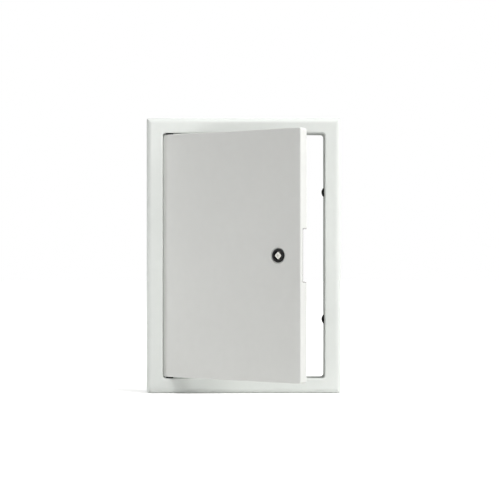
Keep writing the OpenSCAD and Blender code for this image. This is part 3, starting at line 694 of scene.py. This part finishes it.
class ACCESS_PANEL_OT_wind_spring(bpy.types.Operator):
    """Winds the spring round the upper pin, in place of the CAD spring, and hangs it on the door"""

    bl_idname = "access_panel.wind_spring"
    bl_label = "Wind Spring"

    def execute(self, context):
        size = context.scene.panel_spring
        low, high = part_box("pin_spring")
        coil = bpy.data.objects.new("wound_spring", self.wind(size, low.z, high.z))
        bpy.context.scene.collection.objects.link(coil)
        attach(coil, "door")
        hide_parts("pin_spring")
        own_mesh(coil)
        return {"FINISHED"}

    def wind(self, size, bottom, top):
        """The wire as rings of points along the coil, with its first and last turn closed."""
        thick = size.wire / 2
        low, high = bottom + thick, top - thick
        end_rise = size.wire * size.closed
        pitch = (high - low - 2 * end_rise) / (size.turns - 2)
        shape = bmesh.new()
        rings = []
        for step in range(size.turns * COIL_STEPS + 1):
            turn = step / COIL_STEPS
            z = low + end_rise * min(turn, 1) + pitch * min(max(turn - 1, 0), size.turns - 2)
            z += end_rise * max(turn - size.turns + 1, 0)
            angle = math.tau * turn - AJAR
            ring = []
            for side in range(WIRE_SIDES):
                around = math.tau * side / WIRE_SIDES
                reach = size.coil_radius + thick * math.cos(around)
                x, y = PIVOT.x + reach * math.cos(angle), PIVOT.y + reach * math.sin(angle)
                ring.append(shape.verts.new((x, y, z + thick * math.sin(around))))
            rings.append(ring)
        for near, far in zip(rings, rings[1:]):
            for a in range(WIRE_SIDES):
                b = (a + 1) % WIRE_SIDES
                shape.faces.new((near[a], near[b], far[b], far[a])).smooth = True
        shape.faces.new(rings[0])
        shape.faces.new(rings[-1])
        bmesh.ops.recalc_face_normals(shape, faces=shape.faces[:])
        mesh = bpy.data.meshes.new("wound_spring")
        shape.to_mesh(mesh)
        shape.free()
        return mesh


class ACCESS_PANEL_OT_temper_spring(bpy.types.Operator):
    """Gives the pin's spring and its clip the look of drawn spring steel"""

    bl_idname = "access_panel.temper_spring"
    bl_label = "Temper Spring"

    def execute(self, context):
        look = context.scene.panel_metal
        material, sketch, shader, height, normal = zinc(
            "spring_steel", look, look.spring_colour, roughness=0.3, place_of=at_hinge, wear=0.3
        )
        finish_bump(sketch, shader, height, normal)
        paint(["pin_spring", "pin_clip"], material)
        bpy.data.objects["wound_spring"].data.materials.append(material)
        return {"FINISHED"}


class ACCESS_PANEL_OT_mould_lock(bpy.types.Operator):
    """Gives the lock's body its black finish, with the thread behind its head"""

    bl_idname = "access_panel.mould_lock"
    bl_label = "Mould Lock Body"

    def execute(self, context):
        look = context.scene.panel_moulded
        material, sketch, shader, height, normal = moulded(
            "lock_black",
            look.lock_colour,
            roughness=0.38,
            gloss=0.18,
            grain=0.0005,
            place_of=at_lock,
            dust=0.02,
            scuff=0.3,
        )
        place = at_lock(sketch)
        parts = sketch.node("ShaderNodeSeparateXYZ", {0: place}).outputs
        turn = sketch.sum_up("DIVIDE", sketch.sum_up("ARCTAN2", parts["X"], parts["Z"]), 2 * math.pi)
        along = sketch.sum_up("DIVIDE", parts["Y"], look.thread_pitch)
        ridge = sketch.sum_up("PINGPONG", sketch.sum_up("ADD", along, turn), 0.5)
        radius = sketch.vector("LENGTH", sketch.vector("MULTIPLY", place, (1.0, 0.0, 1.0)))
        skin = sketch.spread(radius, *BARREL_FADE)
        barrel = sketch.sum_up("MULTIPLY", skin, sketch.spread(parts["Y"], *HEAD_FADE))
        thread = sketch.sum_up("MULTIPLY", sketch.sum_up("MULTIPLY", ridge, barrel), look.thread_pitch)
        finish_bump(sketch, shader, sketch.sum_up("ADD", height, thread), normal)
        paint(["lock_housing"], material)
        return {"FINISHED"}


class ACCESS_PANEL_OT_plate_lock(bpy.types.Operator):
    """Plates the lock's nut, washers, cam and screw with zinc"""

    bl_idname = "access_panel.plate_lock"
    bl_label = "Plate Lock Parts"

    def execute(self, context):
        look = context.scene.panel_metal
        material, sketch, shader, height, normal = zinc(
            "lock_zinc", look, look.plate_colour, look.roughness, at_lock, wear=0.7
        )
        finish_bump(sketch, shader, height, normal)
        paint(["lock_washer", "lock_nut", "lock_cam", "cam_spring_washer", "cam_screw"], material)
        return {"FINISHED"}


class ACCESS_PANEL_OT_turn_spindle(bpy.types.Operator):
    """Gives the key square its bright turned face"""

    bl_idname = "access_panel.turn_spindle"
    bl_label = "Turn Spindle"

    def execute(self, context):
        look = context.scene.panel_metal
        material, sketch, shader, height, normal = zinc(
            "spindle_bright", look, look.core_colour, roughness=0.42, place_of=at_lock, wear=0.8
        )
        inputs = {
            "Vector": at_lock(sketch),
            "Scale": 900.0,
            "Distortion": 0.4,
            "Detail": 1.0,
            "Detail Scale": 2.0,
        }
        wave = sketch.node("ShaderNodeTexWave", inputs, wave_type="RINGS", rings_direction="Y")
        turned = sketch.sum_up("MULTIPLY_ADD", wave.outputs[1], TURNED_RING, height)
        finish_bump(sketch, shader, turned, normal)
        paint(["lock_spindle"], material)
        return {"FINISHED"}


class ACCESS_PANEL_OT_mould_stops(bpy.types.Operator):
    """Gives the stops their matt black rubber"""

    bl_idname = "access_panel.mould_stops"
    bl_label = "Mould Stops"

    def execute(self, context):
        look = context.scene.panel_moulded
        material, sketch, shader, height, normal = moulded(
            "stop_rubber",
            look.rubber_colour,
            roughness=0.7,
            gloss=0.12,
            grain=0.0007,
            place_of=own_place,
            dust=0.03,
            scuff=0.1,
        )
        finish_bump(sketch, shader, height, normal)
        paint(["stop_upper", "stop_lower"], material)
        return {"FINISHED"}


class ACCESS_PANEL_OT_mould_bushes(bpy.types.Operator):
    """Gives the hinge bushes their black nylon, which also stands as painted shade in the gap at the
    hinge corners
    """

    bl_idname = "access_panel.mould_bushes"
    bl_label = "Mould Bushes"

    def execute(self, context):
        look = context.scene.panel_moulded
        material, sketch, shader, height, normal = moulded(
            "bush_nylon",
            look.bush_black_and_shade,
            roughness=0.45,
            gloss=0.2,
            grain=0.0004,
            place_of=own_place,
            dust=0.04,
            scuff=0.3,
        )
        finish_bump(sketch, shader, height, normal)
        paint(["hinge_bush_upper", "hinge_bush_lower"], material)
        return {"FINISHED"}


def lamp(name, place, size, power, colour):
    """A square soft lamp that faces the opening's centre."""
    data = bpy.data.lights.new(name, "AREA")
    data.shape, data.size, data.energy, data.color = "SQUARE", size, power, colour
    made = bpy.data.objects.new(name, data)
    made.location = place
    made.rotation_mode = "QUATERNION"
    made.rotation_quaternion = (-Vector(place)).to_track_quat("-Z", "Y")
    bpy.context.scene.collection.objects.link(made)


def seen_directly(sketch):
    """1 for the rays that look at a surface or mirror it, and 0 for those that carry its light."""
    rays = sketch.node("ShaderNodeLightPath").outputs
    mirrored = sketch.sum_up("MAXIMUM", rays["Is Glossy Ray"], rays["Is Transmission Ray"])
    return sketch.sum_up("MAXIMUM", rays["Is Camera Ray"], mirrored)


class ACCESS_PANEL_OT_build_studio(bpy.types.Operator):
    """Lays the floor and sets the light and the camera"""

    bl_idname = "access_panel.build_studio"
    bl_label = "Build Studio"

    def execute(self, context):
        look = context.scene.panel_studio
        self.lay_floor(look)
        self.light_room(look)
        self.set_camera(look)
        return {"FINISHED"}

    def lay_floor(self, look):
        mesh = bpy.data.meshes.new("studio_floor")
        shape = bmesh.new()
        bmesh.ops.create_circle(shape, cap_ends=True, segments=96, radius=FLOOR_RADIUS)
        shape.to_mesh(mesh)
        shape.free()
        floor = bpy.data.objects.new("studio_floor", mesh)
        floor.location.z = CAD_BOX[0].z
        bpy.context.scene.collection.objects.link(floor)
        material, sketch, shader = new_material("studio_floor", look.floor_colour)
        place = own_place(sketch)
        far = sketch.spread(sketch.vector("LENGTH", place), *FLOOR_GLOW)
        haze = sketch.spread(sketch.noise(place, 0.4, 3.0), 0.3, 0.7)
        colour = sketch.blend(haze, tinted(look.floor_colour, 0.985), tinted(look.floor_colour, 1.015))
        sketch.tree.links.new(colour, shader.inputs["Base Color"])
        shader.inputs["Roughness"].default_value = 0.8
        shader.inputs["Specular IOR Level"].default_value = 0.1
        shader.inputs["Emission Color"].default_value = WHITE
        glow = sketch.sum_up("MULTIPLY", seen_directly(sketch), far)
        sketch.tree.links.new(glow, shader.inputs["Emission Strength"])
        mesh.materials.append(material)

    def light_room(self, look):
        world = bpy.data.worlds.new("studio_white")
        world.use_nodes = True
        world.node_tree.nodes.clear()
        sketch = Sketch(world.node_tree)
        heading = sketch.node("ShaderNodeTexCoord").outputs["Generated"]
        ahead = sketch.node("ShaderNodeSeparateXYZ", {0: heading}).outputs["Y"]
        level = sketch.spread(ahead, -1.0, 0.0, look.surround, look.surround * look.behind)
        ambient = sketch.node("ShaderNodeBackground", {"Color": WHITE, "Strength": level})
        shown = sketch.node("ShaderNodeBackground", {"Color": WHITE, "Strength": 1.0})
        inputs = {0: seen_directly(sketch), 1: ambient.outputs[0], 2: shown.outputs[0]}
        both = sketch.node("ShaderNodeMixShader", inputs)
        sketch.node("ShaderNodeOutputWorld", {"Surface": both.outputs[0]})
        bpy.context.scene.world = world
        for name, place, size, power, colour in LAMPS:
            lamp(name, place, size, getattr(look, power), colour)

    def set_camera(self, look):
        data = bpy.data.cameras.new("photo_camera")
        data.sensor_width = 36.0
        data.lens = look.focal_px / PHOTO_SIDE * data.sensor_width
        data.shift_x = (PHOTO_SIDE / 2 - look.centre_x) / PHOTO_SIDE
        data.shift_y = (look.centre_y - PHOTO_SIDE / 2) / PHOTO_SIDE
        data.shift_y += look.camera_drop / look.camera_distance * look.focal_px / PHOTO_SIDE
        data.clip_start, data.clip_end = 0.05, 40.0
        camera = bpy.data.objects.new("photo_camera", data)
        camera.location = (0.0, -look.camera_distance, -look.camera_drop)
        camera.rotation_euler = (math.pi / 2, 0.0, 0.0)
        bpy.context.scene.collection.objects.link(camera)
        bpy.context.scene.camera = camera


class ACCESS_PANEL_PT_finishes(bpy.types.Panel):
    """Lists the finishes of the panel and the steps that apply them"""

    bl_idname = "ACCESS_PANEL_PT_finishes"
    bl_label = "Access Panel"
    bl_space_type = "VIEW_3D"
    bl_region_type = "UI"
    bl_category = "Access Panel"

    def draw(self, context):
        for label, settings, steps in SECTIONS:
            box = self.layout.box()
            box.label(text=label)
            look = getattr(context.scene, settings)
            for name in type(look).__annotations__:
                box.prop(look, name)
            for step in steps:
                box.operator(step.bl_idname)


SECTIONS = (
    (
        "Powder Coat",
        "panel_enamel",
        (ACCESS_PANEL_OT_coat_frame, ACCESS_PANEL_OT_coat_anchors, ACCESS_PANEL_OT_coat_door),
    ),
    (
        "Spring",
        "panel_spring",
        (ACCESS_PANEL_OT_wind_spring,),
    ),
    (
        "Metal",
        "panel_metal",
        (
            ACCESS_PANEL_OT_plate_hinges,
            ACCESS_PANEL_OT_temper_spring,
            ACCESS_PANEL_OT_plate_lock,
            ACCESS_PANEL_OT_turn_spindle,
        ),
    ),
    (
        "Plastic and Rubber",
        "panel_moulded",
        (ACCESS_PANEL_OT_mould_lock, ACCESS_PANEL_OT_mould_stops, ACCESS_PANEL_OT_mould_bushes),
    ),
    (
        "Studio",
        "panel_studio",
        (ACCESS_PANEL_OT_build_studio,),
    ),
)
LOOKS = {
    "panel_enamel": EnamelLook,
    "panel_spring": SpringSize,
    "panel_metal": MetalLook,
    "panel_moulded": MouldedLook,
    "panel_studio": StudioLook,
}
STEPS = [step for section in SECTIONS for step in section[2]]


def register():
    for made in (*LOOKS.values(), *STEPS, ACCESS_PANEL_PT_finishes):
        bpy.utils.register_class(made)
    for name, look in LOOKS.items():
        setattr(bpy.types.Scene, name, bpy.props.PointerProperty(type=look))


def unregister():
    for name in LOOKS:
        delattr(bpy.types.Scene, name)
    for made in (ACCESS_PANEL_PT_finishes, *reversed(STEPS), *reversed(LOOKS.values())):
        bpy.utils.unregister_class(made)


def main():
    """Applies every finish and builds the studio."""
    register()
    bpy.context.scene.view_settings.view_transform = "Standard"
    for step in STEPS:
        group, name = step.bl_idname.split(".")
        getattr(getattr(bpy.ops, group), name)()


if __name__ == "__main__":
    main()
